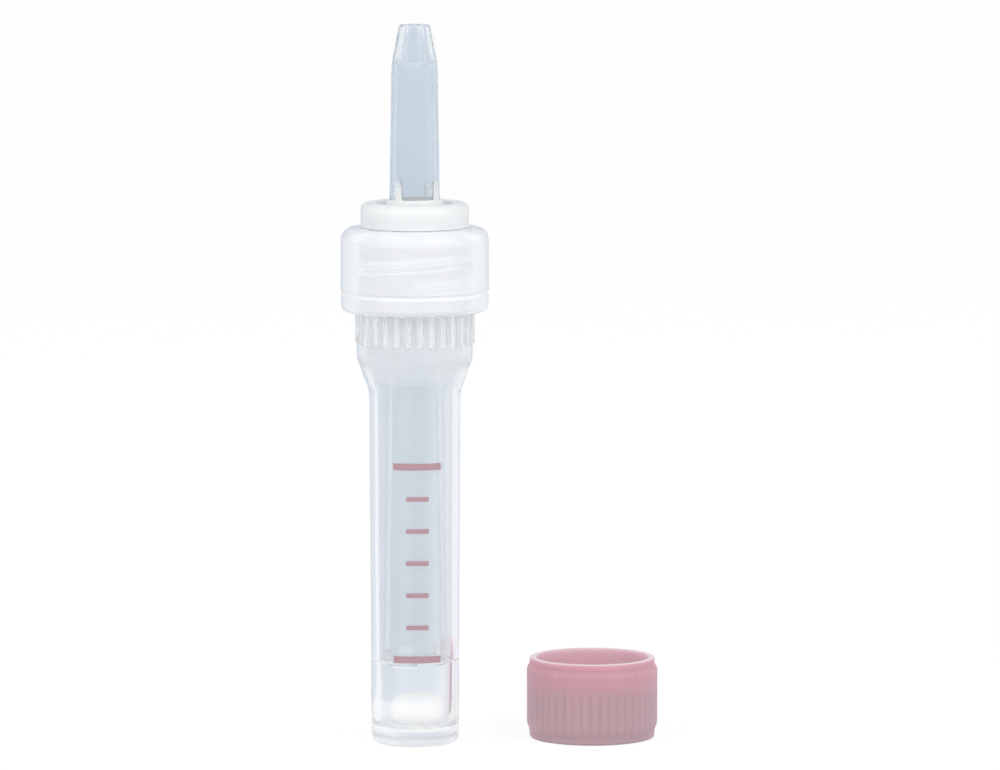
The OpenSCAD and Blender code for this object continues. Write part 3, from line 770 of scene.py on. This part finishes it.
# %% Screw cap
EDGE_R, EDGE_PLAIN, PLATE = 5.7, 0.55, 1.1
SEAL_R, SEAL_WALL, SEAL_TOP = MOUTH_R - 0.05, 0.55, PLATE + 1.9
CAP_RIBS, CAP_RIB_BACK = 45, 0.33
GROOVE_FROM, GROOVE_RISE, GROOVE_END, GROOVE_FADE = 1, 0.8, 4, 1.6
GROOVE_DEEP, GROOVE_FLAT = 0.12, 0.03
LOW_SLOPE, HIGH_SLOPE = 1, 0.5
cap_thread = CAP_HIGH - 0.75 - PITCH * THREAD_TURNS
cap_rows = (NUT_ROOT_R, cap_thread - 0.5, cap_thread + PITCH * THREAD_TURNS + 0.5, THREAD_ROWS)
outer_rows = (EDGE_R, EDGE_PLAIN + CLOSE, CAP_HIGH - EDGE_PLAIN - CLOSE, 30)
cap = turned("screw_cap_pink", [
    (0, 0, 0), (EDGE_R, 0, 0.3), (EDGE_R, EDGE_PLAIN, 0), (EDGE_R, outer_rows[1], 0),
    (EDGE_R, outer_rows[2], 0), (EDGE_R, CAP_HIGH - EDGE_PLAIN, 0),
    (EDGE_R, CAP_HIGH, 0.15), (NUT_ROOT_R, CAP_HIGH, 0.15),
    (NUT_ROOT_R, cap_rows[2], 0), (NUT_ROOT_R, cap_rows[1], 0), (NUT_ROOT_R, PLATE, 0.2),
    (SEAL_R, PLATE, 0.1), (SEAL_R, SEAL_TOP, 0.15), (SEAL_R - SEAL_WALL, SEAL_TOP, 0.1),
    (SEAL_R - SEAL_WALL, PLATE, 0.1), (0, PLATE, 0),
], 12 * CAP_RIBS, [cap_rows, outer_rows])


def cap_ribbed(angle):
    """Radius of the fully ribbed wall at an angle."""
    return ribbed(angle, CAP_RIBS, CAP_CREST, CAP_RIB_BACK, EDGE_R)


def cap_shape(radius, angle, z):
    """Radius and height that a point of the plain cap moves to."""
    if abs(radius - EDGE_R) < NEAR and EDGE_PLAIN + NEAR < z < CAP_HIGH - EDGE_PLAIN - NEAR:
        along = ease((z - GROOVE_FROM) / GROOVE_RISE) * (1 - ease((z - GROOVE_END) / GROOVE_FADE))
        depth = GROOVE_FLAT + (GROOVE_DEEP - GROOVE_FLAT) * along
        wall = CAP_CREST - (CAP_CREST - cap_ribbed(angle)) * depth
        band = ease((z - EDGE_PLAIN) / LOW_SLOPE) * ease((CAP_HIGH - EDGE_PLAIN - z) / HIGH_SLOPE)
        return EDGE_R + (wall - EDGE_R) * band, z
    if abs(radius - NUT_ROOT_R) < NEAR:
        return NUT_ROOT_R - (NUT_ROOT_R - NUT_CREST_R) * ridge(angle, z, cap_thread), z
    return radius, z


reshape(cap, cap_shape)
# This value marks the grooves, where painted shade darkens the wall near the closed end.
grooves = cap.data.attributes.new("groove", "FLOAT", "POINT")
for vert, value in zip(cap.data.vertices, grooves.data):
    radius, angle, z = polar(vert)
    between = 1 - ease((cap_ribbed(angle) - EDGE_R) / (CAP_CREST - EDGE_R))
    grooved = radius > EDGE_R - 2 * NEAR and EDGE_PLAIN + NEAR < z < CAP_HIGH - EDGE_PLAIN
    value.value = between if grooved else 0
for vert in cap.data.vertices:
    vert.co.x += cap_axis[0] * MM
    vert.co.y += cap_axis[1] * MM


# A painted highlight on the cap's rim and a painted lighter inside.
CAP_RIM_HIGHLIGHT, CAP_INSIDE_PAINTED_LIGHT = 0.8, 0.55


def cap_painted_light(radius, angle, z):
    """How much painted light a point of the cap gets: a painted highlight on its thin rim and a painted
    lighter inside.
    """
    if z > CAP_HIGH - 0.06:
        return CAP_RIM_HIGHLIGHT
    return CAP_INSIDE_PAINTED_LIGHT if radius < NUT_ROOT_R + 2 * NEAR and z > PLATE - NEAR else 0


haze_and_painted_light(cap, cap_painted_light, cap_axis)
finish_piece(cap, "tube", "screw_cap", cap_plastic)

# %% [markdown]
# ## Table and backdrop
# The object stands on a plain white table. The table shines white itself to the camera and through
# the plastic, and a fifth of it is still lit paint, so that a soft shadow stays on it.

# %% White table
WHITE_SHARE = 0.8


def seen_directly(tree):
    """A value that is 1 for rays from the camera, off gloss and through clear plastic."""
    path = add(tree, "ShaderNodeLightPath")
    seen = add(tree, "ShaderNodeMath", {"operation": "MAXIMUM"}, in0=path.outputs["Is Camera Ray"],
               in1=path.outputs["Is Glossy Ray"])
    return add(tree, "ShaderNodeMath", {"operation": "MAXIMUM"}, in0=seen.outputs[0],
               in1=path.outputs["Is Transmission Ray"]).outputs[0]


bpy.ops.object.select_all(action="DESELECT")
bpy.ops.mesh.primitive_plane_add(size=8)
table = bpy.context.active_object
table.name = "white_table"
made, tree, output = new_material("white_table_paint")
paint = add(tree, "ShaderNodeBsdfDiffuse", Color=linear("f7f7f7"))
shine = add(tree, "ShaderNodeEmission", Color=(1, 1, 1, 1), Strength=1.05)
share = add(tree, "ShaderNodeMath", {"operation": "MULTIPLY"}, in0=seen_directly(tree), in1=WHITE_SHARE)
mix = add(tree, "ShaderNodeMixShader", in0=share.outputs[0], in1=paint.outputs[0], in2=shine.outputs[0])
tree.links.new(mix.outputs[0], output.inputs["Surface"])
made.cycles.emission_sampling = "NONE"
table.data.materials.append(made)
print("the table is", table.dimensions.x, "m wide")

# %% [markdown]
# ## Grey cards round the object
# Clear plastic on a white ground would vanish. A studio puts grey cards round it, which only the
# plastic shows. Four pale blue-grey cards stand in a ring and curve down on to the table, and their
# sides fade to near white where they meet. A hollow bore bends light more and more towards its edge,
# so each pale seam shows as a thin bright line on each side of the grey middle. The ring is turned a
# little, which makes the right-hand line the stronger one. Higher up the cards are darker and their
# seams fade away, which keeps the slender nozzle evenly grey. The camera and the shadows don't meet
# the cards, and light that a dull surface inside the plastic gathers finds them bright, so that the
# pellet and the haze aren't darkened by them.

# %% Cards
CARD_COUNT, CARD_HALF, CARD_TURN = 4, math.radians(29), math.radians(12)
SOFT_EDGE, CARD_COLUMNS = math.radians(9), 60
CARD_COVE = [(17, 0.2), (60, 0.2), (88, 2), (102, 9), (108, 22), (108, 26), (108, 30), (108, 35),
             (108, 220)]
HIGH_FROM, HIGH_OVER = 22, 12
BEHIND_DULL = 2.2

made, tree, output = new_material("pale_grey_card")
path = add(tree, "ShaderNodeLightPath")
gathered = add(tree, "ShaderNodeMath", {"operation": "GREATER_THAN"},
               in0=path.outputs["Diffuse Depth"], in1=0.5)
fade = add(tree, "ShaderNodeAttribute", {"attribute_name": "fade"}).outputs["Fac"]
high = add(tree, "ShaderNodeAttribute", {"attribute_name": "high"}).outputs["Fac"]
middle_tone = mixed(tree, high, linear("d4dde8"), linear("c6d2df"))
seam_tone = mixed(tree, high, linear("f8fafc"), linear("d3dde7"))
straight = add(tree, "ShaderNodeEmission", Color=mixed(tree, fade, middle_tone, seam_tone), Strength=1)
bright = add(tree, "ShaderNodeEmission", Color=(1, 1, 1, 1), Strength=BEHIND_DULL)
mix = add(tree, "ShaderNodeMixShader",
          in0=gathered.outputs[0], in1=straight.outputs[0], in2=bright.outputs[0])
tree.links.new(mix.outputs[0], output.inputs["Surface"])
made.cycles.emission_sampling = "NONE"
for number in range(CARD_COUNT):
    middle = TURN / 4 + CARD_TURN + TURN * number / CARD_COUNT
    bpy.ops.object.select_all(action="DESELECT")
    bpy.ops.mesh.primitive_grid_add(
        x_subdivisions=CARD_COLUMNS, y_subdivisions=len(CARD_COVE) - 1, size=2)
    card = bpy.context.active_object
    card.name = f"grey_card_{number + 1}"
    fades, highs = [], []
    for vert in card.data.vertices:
        off = vert.co.x * TURN / CARD_COUNT / 2
        radius, z = CARD_COVE[round((vert.co.y + 1) / 2 * (len(CARD_COVE) - 1))]
        fades.append(ease((abs(off) - CARD_HALF + SOFT_EDGE) / SOFT_EDGE))
        highs.append(ease((z - HIGH_FROM) / HIGH_OVER))
        vert.co = spot(radius, middle + off, z)
    for layer, values in (("fade", fades), ("high", highs)):
        card.data.attributes.new(layer, "FLOAT", "POINT").data.foreach_set("value", values)
    card.data.materials.append(made)
    card.visible_camera = card.visible_diffuse = card.visible_shadow = False
print(CARD_COUNT, "cards, each grey over", round(math.degrees(CARD_HALF) * 2), "degrees")

# %% [markdown]
# ## Light
# The room is an even white, and two large soft lamps in front, a stronger one on the right, give the
# round shapes a gentle turn. Their sum is a plain level, at which a colour looks as it is written.

# %% World and lamps
world = bpy.data.worlds.new("white_studio")
scene.world = world
world.use_nodes = True
tree = world.node_tree
tree.nodes.clear()
output = tree.nodes.new("ShaderNodeOutputWorld")
room = add(tree, "ShaderNodeBackground", Color=(1, 1, 1, 1), Strength=0.75)
white = add(tree, "ShaderNodeBackground", Color=(1, 1, 1, 1), Strength=1)
mix = add(tree, "ShaderNodeMixShader", in0=seen_directly(tree), in1=room.outputs[0], in2=white.outputs[0])
tree.links.new(mix.outputs[0], output.inputs["Surface"])


def softbox(name, location, size, watts):
    """A square soft lamp that points at the object."""
    bpy.ops.object.light_add(type="AREA", location=location)
    made = bpy.context.active_object
    made.name = name
    made.data.size, made.data.energy = size, watts
    towards = cad_box[0].lerp(cad_box[1], 0.5) - made.location
    made.rotation_euler = towards.to_track_quat("-Z", "Y").to_euler()


LAMP_SIZE, KEY_WATTS, FILL_WATTS = 0.35, 1.4, 1.0
softbox("key_softbox", (0.38, -0.45, 0.45), LAMP_SIZE, KEY_WATTS)
softbox("fill_softbox", (-0.38, -0.45, 0.4), LAMP_SIZE, FILL_WATTS)
scene.view_settings.view_transform = "Standard"
scene.cycles.max_bounces = scene.cycles.transmission_bounces = 32
scene.cycles.glossy_bounces = 16
scene.cycles.diffuse_bounces = 12
